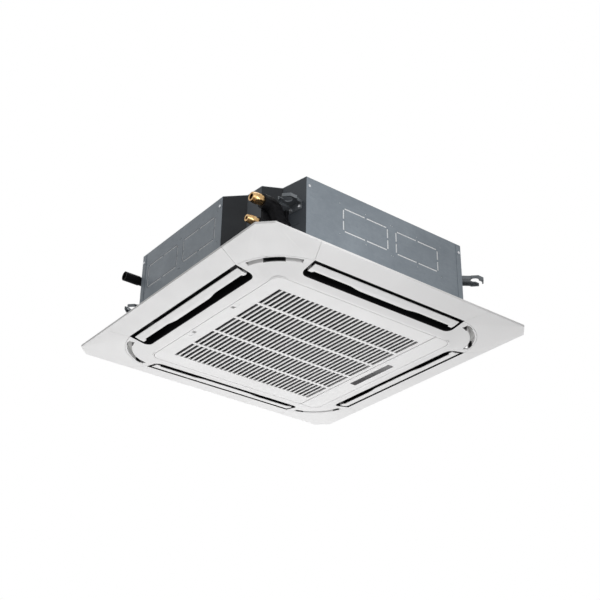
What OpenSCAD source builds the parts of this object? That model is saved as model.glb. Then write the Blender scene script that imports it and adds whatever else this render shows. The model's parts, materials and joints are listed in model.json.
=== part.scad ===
// Four-way ceiling cassette air conditioner.
// The origin is the centre of the four hanger rods, in the plane of the hooks, and +Z points up.
// The front is the -Y side and the left is the -X side. The pipes leave at the front left corner.

/* [Casing] */
// Width of the casing across its flat sides
casing_w = 840; // [800:5:880]
// Height of the casing
casing_h = 205; // [200:5:245]
// Thickness of the casing's sheet steel
sheet_t = 1.2; // [0.8:0.1:2]
// Length of each corner cut along X
corner_x = 165; // [150:5:175]
// Length of each corner cut along Y
corner_y = 215; // [200:5:222]
// Gap from the ceiling up to the bottom of the casing
casing_gap = 12; // [10:1:16]
// Thickness of the foam lining
foam_t = 14; // [8:1:16]
// Width of the lapped strip at the end of each side
lap_w = 18; // [10:1:24]
// Width of one knock-out
knock_w = 160; // [120:5:175]
// Height of one knock-out
knock_h = 75; // [60:5:90]
// Width of the cut lines round a knock-out
knock_cut = 5; // [2:0.5:6]
// Width of one raised rib on the top plate
rib_w = 16; // [10:1:24]
// Height of the raised ribs on the top plate
rib_h = 3; // [1:0.5:6]

/* [Hanging] */
// Distance between hanger rods along X
rod_pitch_x = 680; // [670:2:690]
// Distance between hanger rods along Y
rod_pitch_y = 780; // [772:2:786]
// Height of the hooks above the ceiling
hook_rise = 148; // [120:2:170]
// Radius of the rod hole in each hook
rod_hole_r = 12; // [8:0.5:14]
// Width of the open mouth of each hook
hook_mouth = 14; // [8:0.5:16]
// Width of each hook plate across its flats
hook_w = 50; // [44:1:60]
// Thickness of the hook plates
hook_t = 3; // [2:0.5:5]

/* [Panel] */
// Width of the square panel
panel_w = 950; // [940:5:970]
// Height of the panel's outer rim
rim_h = 6; // [4:0.5:8]
// Depth of the panel below the ceiling
panel_depth = 35; // [33:1:40]
// Leg of the chamfer at each corner of the rim
rim_leg = 36; // [20:1:45]
// Thickness of the moulded panel
skin_t = 3; // [2:0.5:4]
// Half width where the panel's slope meets its flat middle
flat_half = 320; // [318:1:326]
// Half width of the opening for the grille
intake_half = 312; // [308:1:314]
// Gap round the grille
seam_gap = 1.4; // [0.8:0.1:1.6]
// Corner radius of the grille and the display strip
grille_r = 28; // [15:1:40]

/* [Outlets] */
// Half width from the centre to the inner edge of an outlet
outlet_in = 347.5; // [346:0.5:350]
// Half width from the centre to the outer edge of an outlet
outlet_out = 408.5; // [404:0.5:410]
// Half length of an outlet
outlet_half = 264; // [258:1:266]
// Half length of the air duct through the casing
duct_half = 192; // [170:2:196]
// Thickness of the black outlet liner
liner_t = 1.6; // [1.2:0.1:2.5]
// Thickness of a louver blade
blade_t = 2.4; // [2:0.2:3]
// Width of the middle part of a louver
blade_w = 30.5; // [28:0.5:32]
// Width that a louver loses at its ends
blade_step = 6; // [3:0.5:8]
// Radius of the louver pins
louver_pin_r = 3; // [2:0.25:4]
// Centre radius of the curved corner vents
vent_r = 147; // [143:1:150]
// Width of the curved corner vents
vent_w = 14; // [8:1:16]

/* [Grille] */
// Number of slots across the grille
slots_across = 32; // [20:1:36]
// Number of rows of slots
slot_rows = 5; // [3:1:7]
// Width of one slot
slot_w = 10; // [6:0.2:10.4]
// Width of the ribs between rows
row_rib = 10; // [6:0.5:12]
// Thickness of the grille's frame
grille_t = 5; // [4:0.5:7]
// Depth of the bars between the slots
bar_t = 1.8; // [1.4:0.1:3]
// Width of the fixed strip that holds the display
strip_w = 61; // [55:1:66]
// Radius of the hinge pins
hinge_r = 2; // [1.5:0.1:2.5]
// Travel of each catch
latch_travel = 12; // [8:1:14]
// Width of the dark display window
window_w = 22; // [16:1:26]
// Length of the dark display window
window_l = 178; // [120:2:200]

/* [Fan] */
// Radius of the turbo fan
fan_r = 240; // [225:1:246]
// Number of fan blades
fan_blades = 7; // [5:1:9]
// Radius of the bell mouth's throat
throat_r = 186; // [175:1:190]
// Radius of the motor shaft
shaft_r = 6; // [5:0.5:8]
// Radius of the fan motor
motor_r = 62; // [50:1:66]

/* [Coil] */
// Half width of the coil to its outer face
coil_half = 303; // [298:1:306]
// Thickness of the coil
coil_t = 28; // [20:1:30]
// Corner radius of the coil's outer face
coil_r = 120; // [110:1:125]
// Height of the drain pan
pan_h = 48; // [44:1:52]

/* [Pipes] */
// Radius of the hole in the gas pipe's nut, for a 15.88 mm pipe
gas_hole_r = 8.1; // [8:0.05:8.2]
// Radius of the hole in the liquid pipe's nut, for a 9.52 mm pipe
liquid_hole_r = 4.9; // [4.8:0.05:5]
// Width of the gas nut across its flats
gas_flats = 29; // [27:1:30]
// Width of the liquid nut across its flats
liquid_flats = 22; // [20:1:24]
// Radius of the gas pipe's insulation
gas_sleeve_r = 20; // [17:0.5:21]
// Radius of the liquid pipe's insulation
liquid_sleeve_r = 14; // [11:0.5:15]
// Radius of the drain stub
drain_r = 14; // [12.5:0.5:16]

/* [Hidden] */
$fn = 64;

// Small clearances and overruns
run_fit = 0.05;
seat = 0.3;
over = 2;

// Levels
ceil_z = -hook_rise;
rim_z = ceil_z - rim_h;
under_z = ceil_z - panel_depth;
base_z = ceil_z + casing_gap;
top_z = base_z + casing_h;
roof_z = top_z - sheet_t;
pan_top_z = base_z + pan_h;
roof_foam_t = 6;
foam_top_z = roof_z - roof_foam_t;

// Casing outline, counter-clockwise from the front left end of the front side
half_c = casing_w / 2;
front_end = 304;
step_ax = 372;
step_ay = 252;
step_bx = 368;
step_by = 311;
step_cx = 319;
step_cy = 337;
outline = [
    [-front_end, -half_c], [half_c - corner_x, -half_c], [half_c, corner_y - half_c],
    [half_c, half_c - corner_y], [half_c - corner_x, half_c], [corner_x - half_c, half_c],
    [-half_c, half_c - corner_y], [-half_c, corner_y - half_c],
    [-step_ax, -step_ay], [-step_bx, -step_by], [-step_cx, -step_cy]];

function unit(v) = v / norm(v);
function inward(a, b) = let (d = unit(b - a)) [-d[1], d[0]];
function inset(p, t) = [for (i = [0:len(p) - 1])
    let (n1 = inward(p[(i + len(p) - 1) % len(p)], p[i]), n2 = inward(p[i], p[(i + 1) % len(p)]))
    p[i] + t * (n1 + n2) / (1 + n1 * n2)];

module slab(points, z0, z1) translate([0, 0, z0]) linear_extrude(z1 - z0) polygon(points);

module ring(p, t0, t1, z0, z1) difference() {
    slab(inset(p, t0), z0, z1);
    slab(inset(p, t1), z0 - over, z1 + over);
}

// A square with round corners, made of a cross and four discs
module rounded_square(half, r) union() {
    square([2 * (half - r), 2 * half], center = true);
    square([2 * half, 2 * (half - r)], center = true);
    for (x = [-1, 1], y = [-1, 1]) translate([x * (half - r), y * (half - r)]) circle(r);
}

module quarter_turns() for (k = [0:3]) rotate([0, 0, 90 * k]) children();

// Casing
knock_gap = 26;
knock_low = 84;
knock_shift_front = -8;
bridge = 6;
dimple_r = 1.6;
dimple_out = 10;

// The cut lines of one knock-out, with its lower left corner at the origin
module knock_out() {
    run_x = (knock_w - 3 * bridge) / 2;
    run_y = (knock_h - 3 * bridge) / 2;
    for (i = [0, 1], top = [0, 1]) {
        translate([bridge + i * (run_x + bridge), top * (knock_h - knock_cut)]) square([run_x, knock_cut]);
        translate([top * (knock_w - knock_cut), bridge + i * (run_y + bridge)]) square([knock_cut, run_y]);
    }
    for (u = [-dimple_out, knock_w / 2, knock_w + dimple_out], v = [-dimple_out, knock_h + dimple_out])
        translate([u, v]) circle(dimple_r, $fn = 16);
}

module knock_pair() for (i = [-1, 0])
    translate([i * (knock_w + knock_gap) + knock_gap / 2, knock_low]) knock_out();

// Places flat shapes on side k of the casing, seen from outside, and runs them through the sheet
module on_side(k, shift) rotate([0, 0, 90 * k]) translate([shift, over - half_c, base_z])
    rotate([90, 0, 0]) linear_extrude(2 * over) children();

module notch_region() translate([-half_c - over, -half_c - over, base_z - over])
    cube([half_c - front_end + over, corner_y + over, casing_h + 2 * over]);

lap_t = 1;
screw_r = 2;
screw_head_r = 4;
screw_head_h = 2;
lap_screw_low = 24;
lap_screw_high = 178;
side_ends = [[-front_end, half_c - corner_x], [corner_y - half_c, half_c - corner_y],
    [corner_x - half_c, half_c - corner_x], [corner_y - half_c, half_c - corner_y]];

module lap_places() for (k = [0:3], e = [0, 1]) {
    inner = side_ends[k][e] + (1 - 2 * e) * lap_w / 2;
    rotate([0, 0, 90 * k]) translate([inner, -half_c, base_z]) children();
}

module lap_screw_places() lap_places() for (h = [lap_screw_low, lap_screw_high])
    translate([0, 0, h]) rotate([90, 0, 0]) children();

module casing_walls() color([0.55, 0.59, 0.62]) difference() {
    ring(outline, 0, sheet_t, base_z, roof_z);
    notch_region();
    on_side(0, knock_shift_front) knock_pair();
    for (k = [1:3]) on_side(k, 0) knock_pair();
    lap_screw_places() cylinder(r = screw_r, h = 2 * over, center = true);
    hanger_screw_places() cylinder(r = screw_r, h = 4 * over, center = true);
    drain_bore(drain_neck_r);
}

module corner_laps() color([0.62, 0.66, 0.69]) difference() {
    lap_places() translate([-lap_w / 2, -lap_t, 0]) cube([lap_w, lap_t, casing_h - sheet_t]);
    lap_screw_places() cylinder(r = screw_r, h = 4 * lap_t, center = true);
}

module screw(r, head_r, head_h, length) union() {
    cylinder(r = head_r, h = head_h);
    translate([0, 0, -length]) cylinder(r = r, h = length + head_h / 2);
}

module casing_screws() color([0.75, 0.76, 0.78]) lap_screw_places()
    translate([0, 0, lap_t]) screw(screw_r, screw_head_r, screw_head_h, lap_t + sheet_t);

bore_play = 1;
rib_circle_r = 150;
rib_out = 300;
rib_in = 190;
motor_bolt_r = 85;
motor_bolts = 4;
bolt_r = 3;

module casing_top() color([0.6, 0.64, 0.67]) union() {
    difference() {
        slab(outline, roof_z, top_z);
        motor_bolt_places() translate([0, 0, roof_z - over]) cylinder(r = bolt_r, h = 2 * over + sheet_t);
    }
    translate([0, 0, top_z]) linear_extrude(rib_h) difference() {
        circle(rib_circle_r + rib_w / 2);
        circle(rib_circle_r - rib_w / 2);
    }
    quarter_turns() rotate([0, 0, 45]) translate([rib_in, -rib_w / 2, top_z])
        cube([rib_out - rib_in, rib_w, rib_h]);
}

module foam_lining() color([0.9, 0.91, 0.92]) difference() {
    union() {
        ring(outline, sheet_t, sheet_t + foam_t, pan_top_z, roof_z);
        difference() {
            slab(inset(outline, sheet_t + foam_t), foam_top_z, roof_z);
            translate([0, 0, foam_top_z - over]) cylinder(r = rib_circle_r, h = roof_foam_t + 2 * over);
        }
    }
    drain_bore(drain_r + bore_play);
    pipe_passage();
}

// Hanger hooks
rod_x = rod_pitch_x / 2;
rod_y = rod_pitch_y / 2;
hook_lip = 2;
hook_lip_h = 8;
hook_arm = 44;
flange_l = 44;
flange_h = 26;
flange_t = 2.5;
flange_hole_out = 15;
flange_hole_drop = 16;

// Each hook: rod centre, the wall it is fixed to, and the way its mouth points
hook_walls = [
    [[-rod_x, -rod_y], outline[10], outline[0], -1],
    [[rod_x, -rod_y], outline[1], outline[2], 1],
    [[rod_x, rod_y], outline[3], outline[4], 1],
    [[-rod_x, rod_y], outline[5], outline[6], -1]];

function wall_way(h) = unit(h[2] - h[1]);
function wall_out(h) = -inward(h[1], h[2]);
function reach(h) = (h[0] - h[1]) * wall_out(h);

// Local frame with its origin on the wall next to the rod, +X along the wall and -Y outwards
module at_wall(h) translate(h[0] - reach(h) * wall_out(h))
    rotate([0, 0, atan2(wall_way(h)[1], wall_way(h)[0])]) children();

module octagon(w) rotate([0, 0, 22.5]) circle(r = w / 2 / cos(22.5), $fn = 8);

module hook(h) difference() {
    union() {
        translate([0, 0, -hook_t / 2]) linear_extrude(hook_t) union() {
            translate(h[0]) octagon(hook_w);
            at_wall(h) translate([-hook_arm / 2, -reach(h)]) square([hook_arm, reach(h)]);
        }
        translate([0, 0, -hook_lip_h]) linear_extrude(hook_lip_h) difference() {
            union() {
                translate(h[0]) octagon(hook_w);
                at_wall(h) translate([-hook_arm / 2, -reach(h)]) square([hook_arm, reach(h)]);
            }
            translate(h[0]) octagon(hook_w - 2 * hook_lip);
            at_wall(h) translate([-hook_arm / 2 + hook_lip, -reach(h)])
                square([hook_arm - 2 * hook_lip, reach(h)]);
        }
        at_wall(h) translate([-flange_l / 2, -flange_t, hook_t / 2 - flange_h])
            cube([flange_l, flange_t, flange_h]);
    }
    translate(concat(h[0], [-hook_lip_h - over])) {
        cylinder(r = rod_hole_r, h = hook_lip_h + hook_t + 2 * over);
        translate([h[3] > 0 ? 0 : -hook_w, -hook_mouth / 2, 0])
            cube([hook_w, hook_mouth, hook_lip_h + hook_t + 2 * over]);
    }
    slab(outline, -flange_h - over, hook_t + over);
}

module hanger_screw_places() for (h = hook_walls) at_wall(h) for (x = [-1, 1])
    translate([x * flange_hole_out, -flange_t, -flange_hole_drop]) rotate([90, 0, 0]) children();

module hanger_hooks() color([0.42, 0.46, 0.5]) difference() {
    for (h = hook_walls) hook(h);
    hanger_screw_places() cylinder(r = screw_r, h = 3 * flange_t, center = true);
}

module hanger_screws() color([0.75, 0.76, 0.78]) hanger_screw_places()
    screw(screw_r, screw_head_r, screw_head_h, flange_t + sheet_t);

// Refrigerant pipes, as rings swept along points that are shares of the casing's half width
gas_y = -337;
gas_z = 2;
liquid_z = -68;
gas_back_x = -384;
liquid_back_x = -396;
pipe_lead = 12;
gas_r = 8;
liquid_r = 4.8;
foam_play = 0.5;
pipe_sides = 12;
wall_hole_play = 1;
gas_shares = [[-0.452, -0.688, -0.024], [-0.452, -0.748, -0.026], [-0.474, -0.795, -0.038],
    [-0.514, -0.826, -0.062], [-0.576, -0.838, -0.095], [-0.643, -0.838, -0.124], [-0.707, -0.833, -0.143],
    [-0.757, -0.829, -0.145], [-0.783, -0.824, -0.129], [-0.798, -0.817, -0.095], [-0.807, -0.81, -0.052],
    [-0.824, -0.805, -0.017], [-0.852, -0.802, 0.002]];
liquid_shares = [[-0.688, -0.452, -0.186], [-0.688, -0.51, -0.186], [-0.683, -0.567, -0.188],
    [-0.669, -0.629, -0.19], [-0.652, -0.69, -0.193], [-0.65, -0.748, -0.195], [-0.669, -0.795, -0.195],
    [-0.705, -0.821, -0.195], [-0.755, -0.831, -0.195], [-0.81, -0.824, -0.19], [-0.862, -0.81, -0.174]];
gas_route = [each half_c * gas_shares, [gas_back_x + pipe_lead, gas_y, gas_z], [gas_back_x, gas_y, gas_z]];
liquid_route = [each half_c * liquid_shares, [liquid_back_x + pipe_lead, gas_y, liquid_z],
    [liquid_back_x, gas_y, liquid_z]];
gas_foam_from = 6;
liquid_foam_from = 7;

function tail(p, n) = [for (i = [n:len(p) - 1]) p[i]];
function way(p, i) = unit(p[min(i + 1, len(p) - 1)] - p[max(i - 1, 0)]);
function side_of(d) = unit(cross(d, [0, 0, 1]));
function tube_ring(p, i, r) = let (d = way(p, i), s = side_of(d), u = cross(s, d))
    [for (a = [0:pipe_sides - 1]) p[i] + r * (cos(360 * a / pipe_sides) * s + sin(360 * a / pipe_sides) * u)];

// A round tube swept along the points p
module tube(p, r) {
    n = pipe_sides;
    m = len(p);
    points = [for (i = [0:m - 1]) each tube_ring(p, i, r)];
    walls = [for (i = [0:m - 2], a = [0:n - 1])
        let (q = i * n, b = (a + 1) % n) each [[q + a, q + b, q + n + b], [q + a, q + n + b, q + n + a]]];
    ends = [[for (a = [n - 1:-1:0]) a], [for (a = [0:n - 1]) (m - 1) * n + a]];
    polyhedron(points, concat(walls, ends));
}

function stretch(p) = [for (i = [0:len(p) - 1])
    p[i] + (i == 0 ? -over : i == len(p) - 1 ? over : 0) * way(p, i)];

module pipe_passage() {
    tube(gas_route, gas_r + wall_hole_play);
    tube(liquid_route, liquid_r + wall_hole_play);
}

mark_t = 1.2;
mark_w = 4;
mark_size = 20;
mark_z = -66;
mark_disc_r = 6;
mark_disc_z = -94;
mark_line_z = -118;
mark_shift = 12;

// The stepped sheet of the pipe corner, with the pipes' holes and three pressed marks on its outer face
module pipe_plate() color([0.2, 0.22, 0.24]) difference() {
    union() {
        intersection() {
            ring(outline, 0, sheet_t, base_z, roof_z);
            notch_region();
        }
        at_wall(hook_walls[0]) rotate([90, 0, 0]) linear_extrude(mark_t) union() {
            translate([mark_shift - mark_size, mark_z]) square([mark_size, mark_w]);
            translate([mark_shift - mark_size, mark_z - mark_size + mark_w]) square([mark_w, mark_size]);
            translate([mark_shift - mark_size / 2, mark_disc_z]) circle(mark_disc_r);
            translate([mark_shift - mark_size, mark_line_z]) square([mark_size, mark_w]);
        }
    }
    pipe_passage();
    hanger_screw_places() cylinder(r = screw_r, h = 4 * over, center = true);
}

module gas_pipe() color([0.8, 0.5, 0.3]) difference() {
    tube(gas_route, gas_r);
    translate([gas_route[0][0], gas_route[0][1], coil_low_z]) cylinder(r = gas_head_r, h = head_h);
}

module liquid_pipe() color([0.8, 0.5, 0.3]) difference() {
    tube(liquid_route, liquid_r);
    translate([liquid_route[0][0], liquid_route[0][1], coil_low_z]) cylinder(r = liquid_head_r, h = head_h);
}

// A pad of the same black foam that seals the two holes, on the outer face of the stepped sheet
pad_t = 9;
pad_high_z = -14;
pad_low_z = -100;
pad_y = -360;
module foam_pad() intersection() {
    slab(inset(outline, -pad_t), pad_low_z, pad_high_z);
    translate([-step_bx, pad_y, pad_low_z])
        cube([step_bx - front_end, -pad_y - step_by + over, pad_high_z - pad_low_z]);
}

module gas_sleeve() color([0.07, 0.07, 0.08]) difference() {
    union() {
        tube(tail(gas_route, gas_foam_from), gas_sleeve_r);
        foam_pad();
    }
    tube(stretch(gas_route), gas_r + foam_play);
    tube(stretch(liquid_route), liquid_r + foam_play);
    slab(outline, pad_low_z - over, top_z);
}

module liquid_sleeve() color([0.07, 0.07, 0.08]) difference() {
    tube(tail(liquid_route, liquid_foam_from), liquid_sleeve_r);
    tube(stretch(liquid_route), liquid_r + foam_play);
    tube(tail(gas_route, gas_foam_from), gas_sleeve_r);
    foam_pad();
    slab(outline, base_z, top_z);
}

// A male union that the pipe ends in, along -X from the end of the pipe
union_hex_l = 10;
union_l = 24;
nut_l = 24;
nut_lip = 8;
nut_play = 0.1;
nut_gap = 1;
nut_taper = 8;
nut_face = 3;
union_wall = 2;
union_bore_in = 1;
union_hex_in = 4;

module along_minus_x(x, y, z) translate([x, y, z]) rotate([0, -90, 0]) children();

module pipe_union(x, z, bore_r, flats) along_minus_x(x, gas_y, z) difference() {
    union() {
        cylinder(r = (flats - union_hex_in) / 2 / cos(30), h = union_hex_l, $fn = 6);
        cylinder(r = bore_r + union_wall, h = union_l);
    }
    translate([0, 0, -over]) cylinder(r = bore_r - union_bore_in, h = union_l + 2 * over);
}

module flare_nut(x, z, bore_r, flats) along_minus_x(x, gas_y, z) difference() {
    intersection() {
        cylinder(r = flats / 2 / cos(30), h = nut_l, $fn = 6);
        cylinder(r1 = flats / 2 + nut_face, r2 = bore_r + nut_face, h = nut_l + nut_taper);
    }
    translate([0, 0, -over]) cylinder(r = bore_r, h = nut_l + 2 * over);
    translate([0, 0, -over]) cylinder(r = bore_r + union_wall + nut_play, h = nut_l - nut_lip + over);
}

gas_nut_x = gas_back_x - union_hex_l - nut_gap;
liquid_nut_x = liquid_back_x - union_hex_l - nut_gap;

module flare_unions() color([0.75, 0.6, 0.35]) union() {
    pipe_union(gas_back_x, gas_z, gas_hole_r, gas_flats);
    pipe_union(liquid_back_x, liquid_z, liquid_hole_r, liquid_flats);
}

module gas_nut() color([0.8, 0.65, 0.4]) flare_nut(gas_nut_x, gas_z, gas_hole_r, gas_flats);
module liquid_nut() color([0.8, 0.65, 0.4]) flare_nut(liquid_nut_x, liquid_z, liquid_hole_r, liquid_flats);

// Heat exchanger
trough_t = 18;
trough_z = base_z + trough_t;
coil_low_z = trough_z + seat;
coil_top_z = foam_top_z - seat;
coil_end = 150;
end_plate_t = 2;
end_plate_out = 2;
bend_r = 4;
bend_pitch = 22;
bend_turn_r = 6;
bend_count = 5;
bend_low = 30;
gas_head_r = 11;
liquid_head_r = 6;
head_h = 118;
feeder_r = 4;
feeder_low = 50;
feeder_pitch = 22;
feeder_back = 6;
feeder_thin = 1;
bend_margin = 3;
coil_gap_over = 20;

module coil_ring(t_in, t_out, z0, z1) translate([0, 0, z0]) linear_extrude(z1 - z0) difference() {
    rounded_square(coil_half + t_out, coil_r + t_out);
    rounded_square(coil_half - coil_t - t_in, coil_r - coil_t - t_in);
}

// Everything of the coil's ring that lies past its two ends, at the pipe corner
module coil_gap() translate([-coil_half - coil_gap_over, -coil_half - coil_gap_over, coil_low_z - over])
    cube([coil_half + coil_gap_over - coil_end, coil_half + coil_gap_over - coil_end,
        coil_top_z - coil_low_z + 2 * over]);

module coil_fins() color([0.75, 0.77, 0.79]) difference() {
    coil_ring(0, 0, coil_low_z, coil_top_z);
    coil_gap();
}

module coil_end_plates() color([0.6, 0.62, 0.64]) for (m = [0, 1]) mirror(m == 0 ? [0, 0, 0] : [1, -1, 0])
    translate([-coil_end - end_plate_t, -coil_half - end_plate_out, coil_low_z])
        cube([end_plate_t, coil_t + 2 * end_plate_out, coil_top_z - coil_low_z]);

// The return bends, each a half ring that stands out of an end plate
module coil_bends() color([0.8, 0.5, 0.3]) for (m = [0, 1]) mirror(m == 0 ? [0, 0, 0] : [1, -1, 0])
    for (i = [0:bend_count - 1])
        translate([-coil_end - end_plate_t, -coil_half + bend_r + bend_margin, coil_low_z + bend_low + i * bend_pitch])
            rotate([0, -90, 0]) rotate([90, 0, 0]) rotate_extrude(angle = 180) translate([bend_turn_r, 0]) circle(bend_r);

module gas_header() color([0.8, 0.5, 0.3]) union() {
    translate([gas_route[0][0], gas_route[0][1], coil_low_z]) cylinder(r = gas_head_r, h = head_h);
    for (i = [0:2]) translate([gas_route[0][0], gas_route[0][1] + feeder_back, coil_low_z + feeder_low + i * feeder_pitch])
        rotate([0, 90, 0]) cylinder(r = feeder_r, h = -gas_route[0][0] - coil_end - end_plate_t);
}

module liquid_header() color([0.8, 0.5, 0.3]) union() {
    translate([liquid_route[0][0], liquid_route[0][1], coil_low_z]) cylinder(r = liquid_head_r, h = head_h);
    for (i = [0:2])
        translate([liquid_route[0][0] + feeder_back, liquid_route[0][1], coil_low_z + feeder_low + i * feeder_pitch])
            rotate([-90, 0, 0])
                cylinder(r = feeder_r - feeder_thin, h = -liquid_route[0][1] - coil_end - end_plate_t);
}

// Fan
motor_drop = 12;
motor_top_z = roof_z - motor_drop;
motor_h = 74;
ear_r = 14;
ear_t = 4;
motor_low_z = motor_top_z - motor_h;
shaft_out = 28;
shaft_low_z = motor_low_z - shaft_out;
grommet_r = 11;
fan_room = 12;
fan_top_z = foam_top_z - fan_room;
hub_t = 3;
dome_r = 84;
dome_gap = 14;
dome_low_z = motor_low_z - dome_gap;
dome_slope = 28;
dome_slope_in = 26;
hub_boss_r = 16;
throat_h = 74;
throat_top_z = base_z + throat_h;
shroud_lap = 10;
shroud_low_z = throat_top_z - shroud_lap;
shroud_gap = 7;
shroud_in_r = throat_r + shroud_gap;
shroud_t = 3;
shroud_rise = 26;
blade_in_r = 168;
blade_curve_r = 110;
fan_blade_t = 5;
fan_edge = 3;
blade_lean = 30;
blade_drop = 10;
blade_foot = 4;
blade_root = 5;
blade_sink = 1;
boss_out = 8;
boss_h = 12;
shaft_hole_out = 20;
shaft_hole_h = 60;
fan_nut_r = 12;
fan_nut_h = 6;
fan_nut_out = 14;
motor_head_h = 4;
motor_tip_h = 3;

module motor_bolt_places() for (i = [0:motor_bolts - 1]) rotate([0, 0, 45 + 360 * i / motor_bolts])
    translate([motor_bolt_r, 0, 0]) children();

module fan_motor() color([0.25, 0.26, 0.28]) difference() {
    union() {
        translate([0, 0, motor_low_z]) cylinder(r = motor_r, h = motor_h);
        translate([0, 0, motor_top_z - ear_t]) linear_extrude(ear_t) for (i = [0:motor_bolts - 1])
            rotate([0, 0, 45 + 360 * i / motor_bolts]) union() {
                translate([0, -ear_r]) square([motor_bolt_r, 2 * ear_r]);
                translate([motor_bolt_r, 0]) circle(ear_r);
            }
    }
    translate([0, 0, motor_low_z - over]) cylinder(r = shaft_r + run_fit, h = motor_h - ear_t + over);
    motor_bolt_places() translate([0, 0, motor_top_z - ear_t - over]) cylinder(r = bolt_r, h = ear_t + 2 * over);
}

module motor_grommets() color([0.08, 0.08, 0.08]) motor_bolt_places() difference() {
    translate([0, 0, motor_top_z]) cylinder(r = grommet_r, h = roof_z - motor_top_z);
    translate([0, 0, motor_top_z - over]) cylinder(r = bolt_r, h = roof_z - motor_top_z + 2 * over);
}

module motor_screws() color([0.75, 0.76, 0.78]) motor_bolt_places() union() {
    translate([0, 0, motor_top_z - ear_t]) cylinder(r = bolt_r, h = top_z - motor_top_z + ear_t);
    translate([0, 0, motor_top_z - ear_t - motor_head_h]) cylinder(r = 2 * bolt_r, h = motor_head_h, $fn = 6);
    translate([0, 0, top_z]) cylinder(r = 2 * bolt_r, h = motor_tip_h);
}

module motor_shaft() color([0.7, 0.71, 0.73]) translate([0, 0, shaft_low_z])
    cylinder(r = shaft_r, h = motor_top_z - ear_t - shaft_low_z - over);

// One fan blade in plan, an arc that leans back
module fan_blade() intersection() {
    difference() {
        circle(fan_r - fan_edge);
        circle(blade_in_r);
    }
    translate([blade_in_r - blade_lean, -blade_curve_r - blade_drop]) difference() {
        circle(blade_curve_r + fan_blade_t / 2);
        circle(blade_curve_r - fan_blade_t / 2);
        translate([-3 * blade_curve_r, -2 * blade_curve_r]) square([3 * blade_curve_r, 4 * blade_curve_r]);
        translate([0, -3 * blade_curve_r]) square([3 * blade_curve_r, 3 * blade_curve_r]);
    }
}

shroud_steps = 6;
shroud_run = fan_r - shroud_in_r;

function shroud_curve(t, d) = [shroud_in_r + shroud_run * (1 - cos(t)), shroud_low_z + shroud_rise * sin(t)]
    + d * unit([shroud_rise * cos(t), -shroud_run * sin(t)]);

module turbo_fan() color([0.86, 0.87, 0.88]) difference() {
    union() {
        rotate_extrude($fn = 96) polygon([
            [0, dome_low_z], [dome_r, dome_low_z], [dome_r + dome_slope, fan_top_z - hub_t], [fan_r, fan_top_z - hub_t],
            [fan_r, fan_top_z], [dome_r + dome_slope_in, fan_top_z], [dome_r - hub_t, dome_low_z + hub_t],
            [0, dome_low_z + hub_t]]);
        translate([0, 0, dome_low_z - boss_out]) cylinder(r = hub_boss_r, h = boss_h);
        rotate_extrude($fn = 96) polygon(concat(
            [for (i = [0:shroud_steps]) shroud_curve(90 * i / shroud_steps, 0)],
            [for (i = [shroud_steps:-1:0]) shroud_curve(90 * i / shroud_steps, shroud_t)]));
        intersection() {
            for (i = [0:fan_blades - 1]) rotate([0, 0, 360 * i / fan_blades])
                translate([0, 0, shroud_low_z]) linear_extrude(fan_top_z - shroud_low_z) fan_blade();
            rotate_extrude($fn = 96) polygon(concat(
                [[blade_in_r - blade_foot, throat_top_z + blade_foot],
                    [shroud_in_r + blade_root, throat_top_z + blade_foot]],
                [for (i = [3:shroud_steps]) shroud_curve(90 * i / shroud_steps, shroud_t / 2)],
                [[fan_r, fan_top_z - blade_sink], [blade_in_r - blade_foot, fan_top_z - blade_sink]]));
        }
    }
    translate([0, 0, dome_low_z - shaft_hole_out]) cylinder(r = shaft_r + run_fit, h = shaft_hole_h);
}

module fan_nut() color([0.75, 0.76, 0.78]) difference() {
    translate([0, 0, dome_low_z - fan_nut_out]) cylinder(r = fan_nut_r, h = fan_nut_h, $fn = 6);
    translate([0, 0, dome_low_z - shaft_hole_out]) cylinder(r = shaft_r + run_fit, h = shaft_hole_out);
}

// Bell mouth
bell_t = 3;
bell_half = 268;
bell_entry_r = 232;
bell_steps = 8;
bell_z = base_z - bell_t;

bell_run = bell_entry_r - throat_r;
bell_rise = 48;
bell_plate_r = 30;

function bell_curve(t, d) = [throat_r + bell_run * (1 - sin(t)), bell_z + bell_rise * (1 - cos(t))]
    + d * unit([bell_rise * sin(t), bell_run * cos(t)]);

module bell_mouth() color([0.3, 0.31, 0.33]) difference() {
    union() {
        translate([0, 0, bell_z]) linear_extrude(bell_t) difference() {
            rounded_square(bell_half, bell_plate_r);
            circle(bell_entry_r - bell_t);
        }
        rotate_extrude($fn = 96) polygon(concat(
            [for (i = [0:bell_steps]) bell_curve(90 * i / bell_steps, 0)],
            [[throat_r, throat_top_z], [throat_r + bell_t, throat_top_z]],
            [for (i = [bell_steps:-1:0]) bell_curve(90 * i / bell_steps, bell_t)]));
    }
    translate([box_x - seat, -box_half - seat, box_z - over])
        cube([box_w + 2 * seat, 2 * (box_half + seat), box_h + 2 * over]);
}

// Drain pan
pan_open = 255;
pan_open_r = 60;
trough_play_in = 7;
trough_play_out = 9;
trough_in = coil_half - coil_t - trough_play_in;
trough_out = coil_half + trough_play_out;
trough_in_r = 84;
trough_out_r = coil_r + trough_play_out;
duct_step_in = 3;
duct_step_out = 6;
duct_in = outlet_in + duct_step_in;
duct_out = outlet_out - duct_step_out;
pump_x = -290;
pump_y = 292;
float_x = -238;
float_y = 318;
pump_at = [pump_x, pump_y];
float_at = [float_x, float_y];
sump_r = 30;
float_sump_r = 20;
sump_join_x = -285;
sump_join_y = 275;
sump_join_w = 50;
sump_drop = 4;
sump_z = trough_z - sump_drop;
plug_r = 9;
plug_lip = 3;
plug_seat = 1;

module sump() translate([0, 0, sump_z]) linear_extrude(pan_h) union() {
    translate(pump_at) circle(sump_r);
    translate(float_at) circle(float_sump_r);
    translate([sump_join_x, sump_join_y]) square([sump_join_w, sump_join_w]);
}

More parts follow.
